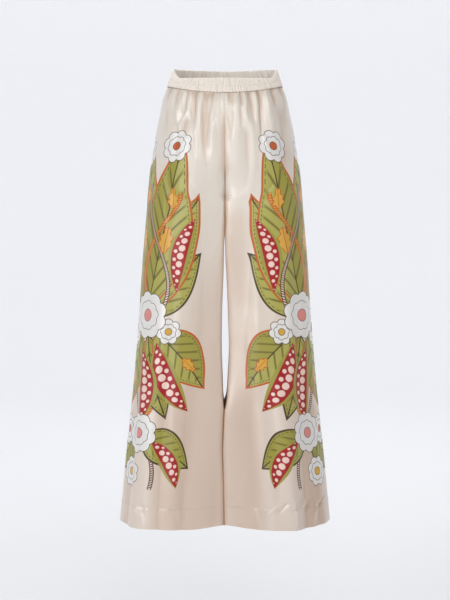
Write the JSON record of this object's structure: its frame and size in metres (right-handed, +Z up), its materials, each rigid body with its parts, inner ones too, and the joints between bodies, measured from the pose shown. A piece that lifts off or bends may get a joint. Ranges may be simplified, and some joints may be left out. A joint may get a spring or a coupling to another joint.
{
  "type": "palazzo pants",
  "caption": "High-waisted palazzo pants with a gathered elastic waistband and very wide straight legs that flare to deep hems, filled out hollow as if worn.",
  "frame": {"origin": "middle of the waistband ring at half its height, where the wearer's waist holds the garment up", "axes": "+Z up, front of the garment towards -Y, wearer's left towards +X"},
  "size_m": [0.5012, 0.2412, 1.0638],
  "materials": {
    "waistband_silk": "cream silk, finely gathered over elastic",
    "panel_silk": "cream satin silk with a large printed border of leaves and blossoms",
    "sewing_thread": "fine cream sewing thread"
  },
  "bodies": {
    "root": {"waistband": "waistband_silk", "front_panel_left": "panel_silk", "front_panel_right": "panel_silk", "back_panel_left": "panel_silk", "back_panel_right": "panel_silk"}
  },
  "joints": []
}
